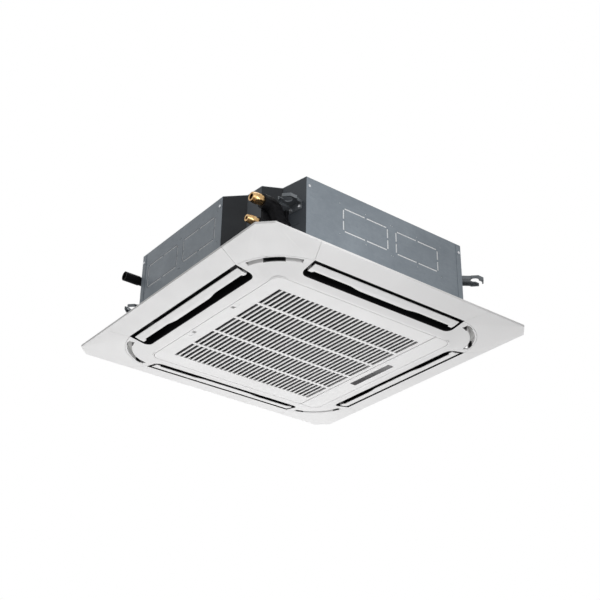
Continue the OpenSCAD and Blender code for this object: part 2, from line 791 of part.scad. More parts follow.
module drain_pan() color([0.88, 0.9, 0.91]) difference() {
    slab(inset(outline, sheet_t), base_z, pan_top_z);
    translate([0, 0, base_z - over]) linear_extrude(pan_h + 2 * over) rounded_square(pan_open, pan_open_r);
    translate([0, 0, trough_z]) linear_extrude(pan_h) difference() {
        rounded_square(trough_out, trough_out_r);
        rounded_square(trough_in, trough_in_r);
    }
    sump();
    quarter_turns() translate([duct_in, -duct_half, base_z - over])
        cube([duct_out - duct_in, 2 * duct_half, pan_h + 2 * over]);
    translate([pump_at[0], pump_at[1], base_z - over]) cylinder(r = plug_r, h = pan_h);
}

module drain_plug() color([0.1, 0.1, 0.1]) union() {
    translate([pump_at[0], pump_at[1], base_z - plug_lip]) cylinder(r = plug_r + plug_lip, h = plug_lip);
    translate([pump_at[0], pump_at[1], base_z - plug_seat]) cylinder(r = plug_r, h = sump_z - base_z + plug_seat);
}

// Drain pump, float and hose
pump_r = 24;
pump_gap = 2;
pump_low_z = sump_z + pump_gap;
inlet_r = 7;
inlet_h = 3;
chamber_lift = 2;
chamber_r = 13;
chamber_h = 14;
funnel_r = 16;
pump_rise = 24;
pump_body_z = pan_top_z + pump_rise;
pump_body_h = 44;
pump_top_z = pump_body_z + pump_body_h;
pump_roof = 8;
impeller_r = 11;
impeller_shaft_r = 2;
impeller_lift = 4;
impeller_hub_r = 4;
vane_t = 1.6;
vane_h = 10;
plate_t = 2;
float_r = 12;
float_h = 16;
float_travel = 12;
stem_r = 3;
float_foot_r = 8;
float_foot_lift = 2;
float_lift = 6;
float_stop_gap = 1;
float_stop_h = 3;
float_fit = 0.08;
float_low_z = sump_z + float_lift;
hose_r = 10;
hose_in_r = 7.5;
drain_y = 235;
drain_z = 2;
drain_end_x = -462;
drain_neck_x = -414;
bore_room = 26;
drain_back_x = -385;
drain_neck_r = 12.5;
drain_in_r = 10.8;
hose_lead = 20;
hose_lap = 9;
hose_shares = [[-0.705, 0.676, -0.181], [-0.738, 0.631, -0.181], [-0.762, 0.598, -0.162],
    [-0.771, 0.586, -0.114], [-0.774, 0.581, -0.055], [-0.786, 0.571, -0.014], [-0.821, 0.562, 0.002]];
hose_route = [each half_c * hose_shares, [drain_back_x + hose_lead, drain_y, drain_z],
    [drain_back_x - hose_lap, drain_y, drain_z]];

// The hole for the drain through the casing and its lining
module drain_bore(r) along_minus_x(drain_back_x + foam_t + bore_room, drain_y, drain_z)
    cylinder(r = r, h = drain_back_x + foam_t + bore_room - drain_end_x);

module at_pump() translate([pump_at[0], pump_at[1], 0]) children();

module drain_pump() color([0.85, 0.85, 0.83]) difference() {
    at_pump() union() {
        translate([0, 0, pump_body_z]) cylinder(r = pump_r, h = pump_top_z - pump_body_z);
        translate([0, 0, pump_low_z]) cylinder(r = funnel_r, h = pump_body_z - pump_low_z);
    }
    at_pump() {
        translate([0, 0, pump_low_z - over]) cylinder(r = inlet_r, h = over + inlet_h);
        translate([0, 0, pump_low_z + chamber_lift]) cylinder(r = chamber_r, h = chamber_h);
        translate([0, 0, pump_low_z])
            cylinder(r = impeller_shaft_r + run_fit, h = pump_top_z - pump_low_z - pump_roof);
    }
}

module pump_impeller() color([0.2, 0.35, 0.6]) at_pump() translate([0, 0, pump_low_z + impeller_lift]) union() {
    cylinder(r = impeller_shaft_r, h = pump_top_z - pump_low_z - impeller_lift - pump_roof - chamber_lift);
    cylinder(r = impeller_hub_r, h = vane_h);
    for (a = [0:3]) rotate([0, 0, 90 * a]) translate([0, -vane_t / 2, 0]) cube([impeller_r, vane_t, vane_h]);
}

leg_l = 14;
leg_in = 4;
float_lug_r = 9;
bracket_w = 16;
module pump_bracket() color([0.7, 0.72, 0.74]) difference() {
    union() {
        translate([0, 0, pump_top_z]) linear_extrude(plate_t) union() {
            translate(pump_at) circle(pump_r);
            translate(float_at) circle(float_lug_r);
            translate(pump_at) rotate(atan2(float_at[1] - pump_at[1], float_at[0] - pump_at[0]))
                translate([0, -bracket_w / 2]) square([norm(float_at - pump_at), bracket_w]);
        }
        at_pump() for (a = [125, 305]) rotate([0, 0, a]) translate([pump_r - leg_in, -leg_l / 2, pump_top_z])
            cube([plate_t, leg_l, foam_top_z - pump_top_z]);
    }
    translate([float_at[0], float_at[1], pump_top_z - over]) cylinder(r = stem_r, h = plate_t + 2 * over);
}

module float_stem() color([0.9, 0.9, 0.9]) translate([float_at[0], float_at[1], 0]) union() {
    translate([0, 0, sump_z + float_foot_lift])
        cylinder(r = stem_r, h = pump_top_z + plate_t - sump_z - float_foot_lift);
    translate([0, 0, sump_z + float_foot_lift])
        cylinder(r = float_foot_r, h = float_lift - float_foot_lift - seat / 3);
    translate([0, 0, float_low_z + float_h + float_travel + float_stop_gap])
        cylinder(r = float_foot_r, h = float_stop_h);
}

module float_ring() color([0.95, 0.95, 0.9]) translate([float_at[0], float_at[1], float_low_z]) difference() {
    cylinder(r = float_r, h = float_h);
    translate([0, 0, -over]) cylinder(r = stem_r + float_fit, h = float_h + 2 * over);
}

module drain_hose() color([0.85, 0.86, 0.86]) difference() {
    tube(hose_route, hose_r);
    tube(stretch(hose_route), hose_in_r);
    at_pump() translate([0, 0, pump_low_z]) cylinder(r = funnel_r, h = pump_body_z - pump_low_z);
}

module drain_stub() color([0.06, 0.06, 0.06]) difference() {
    union() {
        along_minus_x(drain_back_x, drain_y, drain_z) cylinder(r = drain_neck_r, h = drain_back_x - drain_end_x);
        along_minus_x(drain_neck_x, drain_y, drain_z) cylinder(r = drain_r, h = drain_neck_x - drain_end_x);
    }
    along_minus_x(drain_back_x + over, drain_y, drain_z)
        cylinder(r = drain_in_r, h = drain_back_x - drain_end_x + 2 * over);
}

// Electrical box beside the bell mouth
box_x = 214;
box_w = 38;
box_half = 150;
box_t = 1;
box_drop = 10;
box_z = ceil_z - box_drop;
box_h = 44;
ear_l = 12;
clip_front_y = -120;
clip_back_y = 50;
clip_z = 12;
clip_w = 8;
lip_in = 2.5;
lip_t = 2;
lip_h = 6;
board_t = 1.6;
board_in = 6;
board_y = -130;
board_z = 4;
board_l = 200;
board_h = 34;
chip_y = -120;
chip_z = 8;
chip_pitch = 36;
chip_l = 18;
chip_h = 14;
chip_t = 6;
chip_step = 2;
block_y = 84;
block_z = 14;
block_t = 16;
block_l = 56;
block_h = 22;
clamp_in = 9;
clamp_y = 5;
clamp_pitch = 10;
clamp_t = 4;
clamp_w = 6;
can_x = 28;
can_y = -142;
can_r = 9;
can_l = 60;
sensor_x = -200;
sensor_y = -240;
sensor_r = 4;
sensor_l = 22;

module control_box() color([0.7, 0.72, 0.74]) union() {
    difference() {
        translate([box_x, -box_half, box_z]) cube([box_w, 2 * box_half, box_h]);
        translate([box_x + box_t, box_t - box_half, box_z - over])
            cube([box_w - 2 * box_t, 2 * (box_half - box_t), box_h - box_t + over]);
    }
    for (s = [-1, 1]) translate([box_x, s * (box_half + ear_l / 2) - ear_l / 2, bell_z - box_t])
        cube([box_w, ear_l, box_t]);
    for (y = [clip_front_y, clip_back_y]) translate([box_x + box_t, y, box_z + clip_z])
        cube([board_in - box_t, clip_w, clip_w]);
}

module control_cover() color([0.66, 0.68, 0.7]) union() {
    translate([box_x, -box_half, box_z - box_t]) cube([box_w, 2 * box_half, box_t]);
    for (s = [-1, 1]) translate([box_x + box_t, s * (box_half - lip_in) - lip_t / 2, box_z])
        cube([box_w - 2 * box_t, lip_t, lip_h]);
}

module main_board() color([0.1, 0.4, 0.2]) union() {
    translate([box_x + board_in, board_y, box_z + board_z]) cube([board_t, board_l, board_h]);
    for (i = [0:4]) translate([box_x + board_in + board_t, chip_y + chip_pitch * i, box_z + chip_z])
        cube([chip_t + chip_step * (i % 3), chip_l, chip_h]);
}

module terminal_block() color([0.15, 0.15, 0.16]) difference() {
    translate([box_x + box_t, block_y, box_z + block_z]) cube([block_t, block_l, block_h]);
    for (i = [0:4]) translate([box_x + box_t + clamp_in, block_y + clamp_y + clamp_pitch * i, box_z + block_z - over])
        cube([clamp_t, clamp_w, block_h]);
}

module capacitor() color([0.8, 0.81, 0.83]) translate([box_x + can_x, can_y, box_z + box_h - box_t - can_r])
    rotate([-90, 0, 0]) cylinder(r = can_r, h = can_l);

module room_sensor() color([0.1, 0.1, 0.1]) translate([sensor_x, sensor_y, bell_z - sensor_r]) rotate([0, 90, 0])
    cylinder(r = sensor_r, h = sensor_l);

// Panel skin: loops of points from the rim to the flat middle
half_p = panel_w / 2;
arc_from_end = 14;
arc_c = outlet_half - arc_from_end;
mid_half = arc_c + vent_r;
arc_steps = 8;
slope = (panel_depth - rim_h) / (half_p - flat_half);

function skin_z(r) = rim_z - (half_p - r) * slope;
function turn(p, k) = k == 0 ? p : turn([-p[1], p[0]], k - 1);
function rim_loop(half, leg) = [for (k = [0:3], i = [0:arc_steps])
    turn([half, half - leg] + [-leg, leg] * i / arc_steps, k)];
function arc_loop(half, r) = [for (k = [0:3], i = [0:arc_steps])
    turn([half - r, half - r] + r * [cos(90 * i / arc_steps), sin(90 * i / arc_steps)], k)];
function lift(loop, z) = [for (p = loop) [p[0], p[1], z]];

// A closed solid through loops of points, from the highest to the lowest
module loft(loops) {
    n = len(loops[0]);
    m = len(loops);
    points = [for (l = loops) each l];
    walls = [for (i = [0:m - 2], a = [0:n - 1]) let (q = i * n, b = (a + 1) % n)
        each [[q + a, q + n + b, q + b], [q + a, q + n + a, q + n + b]]];
    ends = [[for (a = [0:n - 1]) a], [for (a = [n - 1:-1:0]) (m - 1) * n + a]];
    polyhedron(points, [for (f = concat(walls, ends)) [for (i = [len(f) - 1:-1:0]) f[i]]]);
}

module skin_solid(t) loft([
    lift(rim_loop(half_p - t, rim_leg), ceil_z + (t > 0 ? over : 0)),
    lift(rim_loop(half_p - t, rim_leg), rim_z + t),
    lift(arc_loop(mid_half, mid_half - arc_c), skin_z(mid_half) + t),
    lift(arc_loop(flat_half, flat_half - arc_c), under_z + t)]);

cover_gap = 0.6;
cover_rim = 6;
cover_in_r = vent_r + vent_w / 2 + cover_rim;
seam_from_end = 3;
seam_from_side = 2.5;
seam_lean = 30;
seam_start = [outlet_half + seam_from_end, outlet_out + seam_from_side];
seam_end = [outlet_half + seam_from_end + seam_lean, half_p];
vent_wall = 2;
vent_rise = 14;
vent_sweep = 60;
floor_lap = 2;
liner_room = 1.5;

// The outline of the back right corner cover, grown by a gap
module cover_area(gap) difference() {
    polygon([[seam_start[0] - gap, seam_start[1]], [seam_end[0] - gap, seam_end[1]],
        [seam_end[0] - gap, half_p + over], [half_p + over, half_p + over],
        [half_p + over, seam_end[0] - gap], [seam_end[1], seam_end[0] - gap], [seam_start[1], seam_start[0] - gap]]);
    translate([arc_c, arc_c]) circle(cover_in_r - gap);
}

module vent_sector(r0, r1, z0, z1) translate([arc_c, arc_c, z0]) rotate([0, 0, 45 - vent_sweep / 2])
    rotate_extrude(angle = vent_sweep) translate([r0, 0]) square([r1 - r0, z1 - z0]);

// Outlet in plan, on the +X side, sharp outside and round inside, grown by a length
outlet_r = 20;
module outlet_area(grow) union() {
    translate([outlet_in + outlet_r, -outlet_half - grow])
        square([outlet_out - outlet_in - outlet_r + grow, 2 * (outlet_half + grow)]);
    translate([outlet_in - grow, outlet_r - outlet_half])
        square([outlet_r + grow + over, 2 * (outlet_half - outlet_r)]);
    for (s = [-1, 1]) translate([outlet_in + outlet_r, s * (outlet_half - outlet_r)]) circle(outlet_r + grow);
}

ring_t = 3;
ring_rise = 2;
ring_top_z = ceil_z + ring_rise;
strip_in = intake_half - seam_gap - strip_w;
grille_x = strip_in - seam_gap / 2;
hinge_round = 2.5;
hinge_x = grille_x - hinge_round;
hinge_z = under_z + hinge_round;
under_lift = 0.4;
tray_t = 1.8;
tray_x = strip_in + seam_gap;
boss_r = 9;
screw_from_corner = 62;
chamfer_out = unit([corner_y, corner_x]);
chamfer_mid = [half_c - corner_x / 2, half_c - corner_y / 2];

// The panel's four bolts: three off the chamfers and one off the pipe corner
pipe_bolt_x = -378;
pipe_bolt_y = -352;
module panel_screw_places() {
    spot = chamfer_mid + screw_from_corner * chamfer_out;
    for (s = [[1, 1], [1, -1], [-1, 1]]) translate([s[0] * spot[0], s[1] * spot[1], 0]) children();
    translate([pipe_bolt_x, pipe_bolt_y, 0]) children();
}

tab_t = 2;
tab_w = 30;
pipe_tab_l = 70;
module panel_tabs() color([0.6, 0.64, 0.67]) difference() {
    translate([0, 0, base_z]) linear_extrude(tab_t) difference() {
        union() {
            for (s = [[1, 1], [1, -1], [-1, 1]]) mirror([s[0] < 0 ? 1 : 0, 0, 0]) mirror([0, s[1] < 0 ? 1 : 0, 0])
                translate(chamfer_mid) rotate(atan2(chamfer_out[1], chamfer_out[0]))
                    translate([0, -tab_w / 2]) square([screw_from_corner + tab_w / 2, tab_w]);
            translate([pipe_bolt_x - tab_w / 2, pipe_bolt_y - tab_w / 2]) square([pipe_tab_l, tab_w]);
        }
        polygon(outline);
    }
    panel_screw_places() translate([0, 0, base_z - over]) cylinder(r = bolt_r, h = tab_t + 2 * over);
}

boss_drop = 2;
boss_low_z = ceil_z - boss_drop;
head_room = 1;
head_h_panel = 3;

module panel_screws() color([0.75, 0.76, 0.78]) panel_screw_places() union() {
    translate([0, 0, boss_low_z]) cylinder(r = bolt_r, h = base_z + 3 * tab_t - boss_low_z);
    translate([0, 0, boss_low_z - head_h_panel]) cylinder(r = 2 * bolt_r, h = head_h_panel);
}

module skin_layer(t0, t1) difference() {
    skin_solid(t0);
    skin_solid(t1);
}

module corner_areas(gap) quarter_turns() translate([0, 0, under_z - over])
    linear_extrude(panel_depth + 2 * over) cover_area(gap);

// The moulded skin with its recessed floors, vents, bosses and openings, resized to its own width as one mesh
module panel_shell() resize([panel_w, panel_w, 0]) difference() {
    union() {
        skin_layer(0, skin_t);
        difference() {
            intersection() {
                skin_layer(skin_t / 2, 2 * skin_t);
                corner_areas(floor_lap);
            }
            quarter_turns() translate([liner_in - liner_room, -liner_end - liner_room, under_z])
                cube([liner_out - liner_in + 2 * liner_room, 2 * (liner_end + liner_room), panel_depth]);
        }
        intersection() {
            skin_solid(0);
            quarter_turns() vent_sector(vent_r - vent_w / 2 - vent_wall, vent_r + vent_w / 2 + vent_wall,
                under_z, skin_z(mid_half) + vent_rise);
        }
        intersection() {
            skin_solid(skin_t + seat);
            panel_screw_places() translate([0, 0, under_z]) cylinder(r = boss_r, h = panel_depth + over);
        }
        panel_screw_places() translate([0, 0, ceil_z]) cylinder(r = boss_r, h = base_z - ceil_z);
        translate([0, 0, under_z]) linear_extrude(ring_top_z - under_z)
            rounded_square(intake_half + ring_t, grille_r);
    }
    difference() {
        corner_areas(cover_gap);
        skin_solid(skin_t);
    }
    difference() {
        translate([0, 0, under_z - over]) linear_extrude(panel_depth + 4 * over)
            rounded_square(intake_half, grille_r);
        translate([tray_x, -intake_half - over, under_z + skin_t]) cube([2 * strip_w, 2 * (intake_half + over), tray_t]);
    }
    for (s = [-1, 1]) translate([hinge_x, s * intake_half, hinge_z])
        cube([2 * hinge_round, 4 * ring_t, 2 * hinge_round], center = true);
    quarter_turns() {
        translate([0, 0, under_z - over]) linear_extrude(panel_depth + over) outlet_area(liner_t + seat);
        vent_sector(vent_r - vent_w / 2, vent_r + vent_w / 2, under_z - over, ceil_z);
    }
    panel_screw_places() {
        translate([0, 0, under_z]) cylinder(r = 2 * bolt_r + head_room, h = boss_low_z - under_z);
        translate([0, 0, boss_low_z - over]) cylinder(r = bolt_r + seat, h = casing_gap + 2 * over);
    }
}

hinge_block = 9;
hinge_bore_l = 5;

module panel_frame() color([0.93, 0.93, 0.93]) difference() {
    union() {
        panel_shell($fn = 32);
        for (s = [-1, 1]) translate([hinge_x, s * (intake_half + ring_t / 3 + hinge_bore_l / 2),
            hinge_z - hinge_round + under_lift + hinge_block / 2])
            cube([hinge_block, hinge_bore_l, hinge_block], center = true);
    }
    for (s = [-1, 1]) translate([hinge_x, s * (intake_half - over), hinge_z]) rotate([-90 * s, 0, 0])
        cylinder(r = hinge_r + run_fit, h = hinge_bore_l + 3 * over);
}

module corner_covers() color([0.94, 0.94, 0.94]) intersection() {
    skin_layer(0, skin_t - 2 * run_fit);
    corner_areas(0);
}

seal_t = 8;
module panel_seal() color([0.2, 0.2, 0.21]) translate([0, 0, ring_top_z]) linear_extrude(base_z - ring_top_z)
    difference() {
        rounded_square(intake_half + ring_t, grille_r);
        rounded_square(intake_half + ring_t - seal_t, grille_r - seal_t / 2);
    }

// Outlet liners, in the frame of the outlet on the +X side
liner_top_z = base_z - seat;
liner_in = outlet_in - liner_t;
liner_out = outlet_out + liner_t;
liner_end = outlet_half + liner_t;
liner_lip_w = 3;
liner_lip_t = 1.5;
pin_from_inside = 26.5;
louver_x = outlet_in + pin_from_inside;
louver_rise = 9;
louver_z = ceil_z - louver_rise;
pin_root = 1;
pin_end = 0.4;
pin_drive = 6;

// A bar along the outlet whose faces follow the panel's slope
module slope_bar(x0, x1, half_l, low, high) rotate([90, 0, 0]) translate([0, 0, -half_l])
    linear_extrude(2 * half_l) polygon([[x0, skin_z(x0) + low], [x1, skin_z(x1) + low],
        [x1, skin_z(x1) + high], [x0, skin_z(x0) + high]]);

module outlet_liner() difference() {
    union() {
        intersection() {
            translate([0, 0, under_z]) linear_extrude(liner_top_z - under_z) outlet_area(liner_t);
            slope_bar(liner_in - over, liner_out + over, liner_end + over, seat, panel_depth + casing_gap);
        }
        slope_bar(liner_in - liner_lip_w, liner_out + liner_lip_w, outlet_half - outlet_r,
            skin_t + seat, skin_t + seat + liner_lip_t);
    }
    translate([0, 0, under_z - over]) linear_extrude(liner_top_z - liner_t - under_z + over) outlet_area(0);
    translate([duct_in, -duct_half, under_z]) cube([duct_out - duct_in, 2 * duct_half, casing_h]);
    for (s = [-1, 1]) translate([louver_x, s * (outlet_half - over), louver_z]) rotate([-90 * s, 0, 0])
        cylinder(r = louver_pin_r + run_fit, h = liner_t + 2 * over);
}

// Roof over each corner vent, open at both ends
vent_cap_t = 2;
module vent_cap() {
    low_z = skin_z(mid_half) + vent_rise + seat;
    vent_sector(vent_r - vent_w / 2 - vent_wall, vent_r + vent_w / 2 + vent_wall, low_z, low_z + vent_cap_t);
}

module outlet_liners() color([0.04, 0.04, 0.04]) difference() {
    quarter_turns() {
        outlet_liner();
        vent_cap();
    }
    panel_screw_places() translate([0, 0, under_z]) cylinder(r = boss_r + seat, h = casing_h);
}

louver_motor_r = 10;
louver_motor_l = 18;
louver_socket_l = 8;
module louver_motors() color([0.85, 0.86, 0.84]) quarter_turns() difference() {
    translate([louver_x, liner_end, louver_z]) rotate([-90, 0, 0]) cylinder(r = louver_motor_r, h = louver_motor_l);
    translate([louver_x, liner_end - over, louver_z]) rotate([-90, 0, 0])
        cylinder(r = louver_pin_r + run_fit, h = louver_socket_l + over);
}

// A louver in plan, on the +X side, with a wider middle and a foot at each end
blade_side_gap = 10.5;
blade_out = outlet_out - blade_side_gap;
blade_mid_in = blade_out - blade_w;
blade_end_in = blade_mid_in + blade_step;
blade_end_gap = 8;
blade_half = outlet_half - blade_end_gap;
blade_reach = 1;
blade_lift = 0.4;
tongue_flat = 78;
tongue_end = 125;
foot_l = 13;
foot_lean = 4;
s_steps = 6;

function s_curve(t) = (1 - cos(180 * t)) / 2;

module louver_plan() polygon(concat(
    [[blade_out, -blade_half], [blade_out, blade_half], [blade_mid_in, blade_half],
        [blade_mid_in, blade_half - foot_l], [blade_end_in, blade_half - foot_l - foot_lean]],
    [for (i = [0:s_steps]) [blade_end_in - blade_step * s_curve(i / s_steps),
        tongue_end - (tongue_end - tongue_flat) * i / s_steps]],
    [for (i = [s_steps:-1:0]) [blade_end_in - blade_step * s_curve(i / s_steps),
        (tongue_end - tongue_flat) * i / s_steps - tongue_end]],
    [[blade_end_in, foot_l + foot_lean - blade_half], [blade_mid_in, foot_l - blade_half],
        [blade_mid_in, -blade_half]]));

crease_share = 0.45;
crease_x = blade_mid_in + crease_share * blade_w;
crease_drop = 1.2;

// Cross-section of the blade, bent along a crease
module blade_profile() polygon([
    [blade_mid_in - blade_reach, skin_z(blade_mid_in) + blade_t],
    [blade_mid_in - blade_reach, skin_z(blade_mid_in) + blade_lift],
    [crease_x, skin_z(crease_x) - crease_drop + blade_lift],
    [blade_out + blade_reach, skin_z(blade_out) + blade_lift],
    [blade_out + blade_reach, skin_z(blade_out) + blade_t],
    [crease_x, skin_z(crease_x) - crease_drop + blade_t]]);

arm_t = 3;
arm_r = 6;
module louver() union() {
    intersection() {
        translate([0, 0, under_z]) linear_extrude(panel_depth) louver_plan();
        rotate([90, 0, 0]) translate([0, 0, -blade_half - over]) linear_extrude(2 * (blade_half + over)) blade_profile();
    }
    for (s = [-1, 1]) {
        translate([louver_x, s * (blade_half - arm_t / 2), louver_z]) rotate([90, 0, 0])
            cylinder(r = arm_r, h = arm_t, center = true);
        translate([louver_x - arm_r, s * (blade_half - arm_t / 2) - arm_t / 2, skin_z(louver_x) + blade_t / 2])
            cube([2 * arm_r, arm_t, louver_z - skin_z(louver_x) - blade_t / 2]);
        translate([louver_x, s * (blade_half - pin_root), louver_z]) rotate([-90 * s, 0, 0])
            cylinder(r = louver_pin_r, h = blade_end_gap + liner_t + (s > 0 ? pin_drive : pin_end));
    }
}

module louver_at(k) color([0.93, 0.93, 0.93]) rotate([0, 0, 90 * k]) louver();

// Intake grille
grille_half = intake_half - seam_gap;
frame_left = 49;
frame_right = 14;
frame_side = 56;
field_x0 = frame_left - intake_half;
field_x1 = grille_x - frame_right;
field_half = intake_half - frame_side;
edge_t = 2;
edge_h = 10;

module slots() {
    pitch_x = (field_x1 - field_x0 - slot_w) / (slots_across - 1);
    slot_l = (2 * field_half - (slot_rows - 1) * row_rib) / slot_rows;
    for (i = [0:slots_across - 1], j = [0:slot_rows - 1])
        translate([field_x0 + i * pitch_x, j * (slot_l + row_rib) - field_half]) square([slot_w, slot_l]);
}

module grille_area(inset_by) intersection() {
    rounded_square(grille_half - inset_by, grille_r - inset_by);
    translate([-grille_half, -grille_half]) square([grille_half + grille_x - inset_by, 2 * grille_half]);
}

latch_in = 13;
latch_x = latch_in - intake_half;
latch_y = 112;
latch_w = 11;
latch_l = 20;
latch_play = 0.3;
latch_plate_in = 1.5;
latch_plate_w = 15;
latch_plate_lap = 2;
latch_plate_t = 2;
latch_gap = 0.1;
tongue_w = 8;
pin_boss_l = 6;

module intake_grille() color([0.95, 0.95, 0.95]) difference() {
    union() {
        translate([0, 0, under_z]) linear_extrude(bar_t) difference() {
            grille_area(0);
            slots();
        }
        translate([0, 0, under_z]) linear_extrude(grille_t) difference() {
            grille_area(0);
            translate([field_x0, -field_half]) square([field_x1 - field_x0, 2 * field_half]);
        }
        translate([0, 0, under_z]) linear_extrude(edge_h) difference() {
            grille_area(0);
            grille_area(edge_t);
        }
        for (s = [-1, 1]) translate([hinge_x, s * grille_half, hinge_z]) rotate([90 * s, 0, 0])
            cylinder(r = hinge_round, h = pin_boss_l);
    }
    for (s = [-1, 1]) {
        latch_cut(s);
        translate([hinge_x, s * (grille_half + over), hinge_z]) rotate([90 * s, 0, 0])
            cylinder(r = hinge_r, h = pin_boss_l + over);
    }
    difference() {
        translate([hinge_x, -grille_half - over, under_z - over])
            cube([hinge_round + over, 2 * (grille_half + over), hinge_round + over]);
        translate([hinge_x, -grille_half - 2 * over, hinge_z]) rotate([-90, 0, 0])
            cylinder(r = hinge_round, h = 2 * grille_half + 4 * over);
    }
}

// The slot that a catch slides in, and the window in the edge for its tongue
module latch_cut(s) {
    far = latch_l / 2 + latch_play;
    near = far + latch_travel;
    y0 = s * latch_y - (s > 0 ? near : far);
    translate([latch_x - latch_w / 2 - latch_play, y0, under_z - over])
        cube([latch_w + 2 * latch_play, near + far, grille_t + 2 * over]);
    translate([-grille_half - over, s * latch_y - (s > 0 ? latch_travel : 0) - tongue_w / 2 - latch_play,
        under_z + grille_t - latch_gap]) cube([2 * over + edge_t, tongue_w + latch_travel + 2 * latch_play, edge_h]);
}

module latch(s) translate([latch_x, s * latch_y, under_z]) union() {
    plate_half = latch_l / 2 + latch_play + latch_travel + latch_plate_lap;
    translate([-latch_w / 2, -latch_l / 2, seat]) cube([latch_w, latch_l, grille_t]);
    translate([-latch_w / 2 - latch_plate_in, -plate_half, grille_t + latch_gap])
        cube([latch_plate_w, 2 * plate_half, latch_plate_t]);
    translate([-grille_half - latch_x + seat, -tongue_w / 2, grille_t + latch_gap])
        cube([grille_half + latch_x, tongue_w, latch_plate_t]);
}

module latch_front() color([0.9, 0.9, 0.9]) latch(-1);
module latch_back() color([0.9, 0.9, 0.9]) latch(1);

module hinge_pins() color([0.7, 0.71, 0.73]) for (s = [-1, 1])
    translate([hinge_x, s * (grille_half - pin_boss_l), hinge_z]) rotate([-90 * s, 0, 0])
        cylinder(r = hinge_r, h = pin_boss_l + seam_gap + hinge_bore_l);

filter_lap_left = 21;
filter_lap_right = 3;
filter_lap_side = 19;
filter_x0 = field_x0 - filter_lap_left;
filter_x1 = field_x1 + filter_lap_right;
filter_half = field_half + filter_lap_side;
filter_rim = 10;
filter_h = 7;
mesh_t = 1;
mesh_in = 1;
mesh_lift = 2;
module air_filter() color([0.2, 0.2, 0.21]) translate([0, 0, under_z + grille_t]) union() {
    difference() {
        translate([filter_x0, -filter_half, 0]) cube([filter_x1 - filter_x0, 2 * filter_half, filter_h]);
        translate([filter_x0 + filter_rim, filter_rim - filter_half, -over])
            cube([filter_x1 - filter_x0 - 2 * filter_rim, 2 * (filter_half - filter_rim), filter_h + 2 * over]);
    }
    translate([filter_x0 + mesh_in, mesh_in - filter_half, mesh_lift])
        cube([filter_x1 - filter_x0 - 2 * mesh_in, 2 * (filter_half - mesh_in), mesh_t]);
}

window_in = 33;
window_x = intake_half - window_in;
module display_strip() color([0.95, 0.95, 0.95]) difference() {
    translate([0, 0, under_z]) linear_extrude(skin_t) intersection() {
        rounded_square(grille_half, grille_r);
        translate([strip_in + seam_gap / 2, -grille_half]) square([strip_w, 2 * grille_half]);
    }
    translate([window_x - window_w / 2, -window_l / 2, under_z - over]) cube([window_w, window_l, skin_t + 2 * over]);
}

window_back = 0.4;
module display_window() color([0.03, 0.03, 0.04])
    translate([window_x - window_w / 2 + run_fit, run_fit - window_l / 2, under_z + window_back])
        cube([window_w - 2 * run_fit, window_l - 2 * run_fit, skin_t - window_back]);

casing_top();
casing_walls();
corner_laps();
casing_screws();
pipe_plate();
foam_lining();
hanger_hooks();
hanger_screws();
coil_fins();
coil_end_plates();
coil_bends();
gas_header();
liquid_header();
gas_pipe();
liquid_pipe();
flare_unions();
gas_nut();
liquid_nut();
gas_sleeve();
liquid_sleeve();
fan_motor();
motor_grommets();
motor_screws();
motor_shaft();
turbo_fan();
fan_nut();
bell_mouth();
drain_pan();
drain_plug();
drain_pump();
pump_impeller();
pump_bracket();
float_stem();
float_ring();
drain_hose();
drain_stub();
control_box();
control_cover();
main_board();
terminal_block();
capacitor();
room_sensor();
panel_frame();
panel_seal();
panel_tabs();
panel_screws();
corner_covers();
outlet_liners();
louver_at(0);  // louver_right
louver_at(1);  // louver_back
louver_at(2);  // louver_left
louver_at(3);  // louver_front
louver_motors();
intake_grille();
hinge_pins();
air_filter();
latch_front();
latch_back();
display_strip();
display_window();
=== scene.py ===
import json
import math

import bpy
from mathutils import Matrix, Vector

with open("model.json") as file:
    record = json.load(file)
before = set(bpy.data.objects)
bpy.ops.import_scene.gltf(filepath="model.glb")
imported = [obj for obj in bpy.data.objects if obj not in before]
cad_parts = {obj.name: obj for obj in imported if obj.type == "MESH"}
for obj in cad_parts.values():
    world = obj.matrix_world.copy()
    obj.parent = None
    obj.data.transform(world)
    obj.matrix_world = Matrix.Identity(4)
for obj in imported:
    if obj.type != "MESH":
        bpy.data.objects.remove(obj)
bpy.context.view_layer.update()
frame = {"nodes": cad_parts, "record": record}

nodes = frame["nodes"]
scene = bpy.context.scene
mm = 0.001
# Every material made here, by the name of its slot
materials = {}


# The camera stands low at the pipe corner and looks up, as in the photograph.
camera_place = Vector((-1.8156, -2.3740, -1.6259))
camera_yaw = math.radians(37.44)
camera_pitch = math.radians(28.27)
camera_roll = math.radians(0.81)
camera_lens = 68.56
camera_sensor = 36

# The panel's corner vents are arcs about a point this far from the middle along X and along Y.
vent_centre = 250 * mm
# Their upright walls lie between these radii, above this height.
vent_radii = 137 * mm, 155.5 * mm
vent_low_z = -180.5 * mm
# They begin where the shorter of a point's distances from the middle, along X and along Y, passes this.
vent_start = 268 * mm
# A stretch is painted black, as painted shade inside the vent, where those two distances differ by less
# than the first, or by an amount in the second.
vent_shade_middle = 41 * mm
vent_shade_ends = 70 * mm, 100 * mm
# At the pipe corner the sum of X and Y is lower than this.
pipe_corner_sum = -500 * mm

# The drain pan's air ducts: their reach from the middle outwards, half their length and their upper end
duct_reach = 349.5 * mm, 403.5 * mm
duct_half = 192.5 * mm
duct_top_z = -87.5 * mm

# The narrow outer face of the pipe corner's sheet, and where its wall at the front begins; both are painted
# paler as painted light.
pipe_face_x = -373.5 * mm, -367.5 * mm
pipe_face_y = -310.5 * mm, -252.5 * mm
pipe_wall_y = -339 * mm

# The room's floor, in metres
floor_half = 14.0
floor_z = -3.2


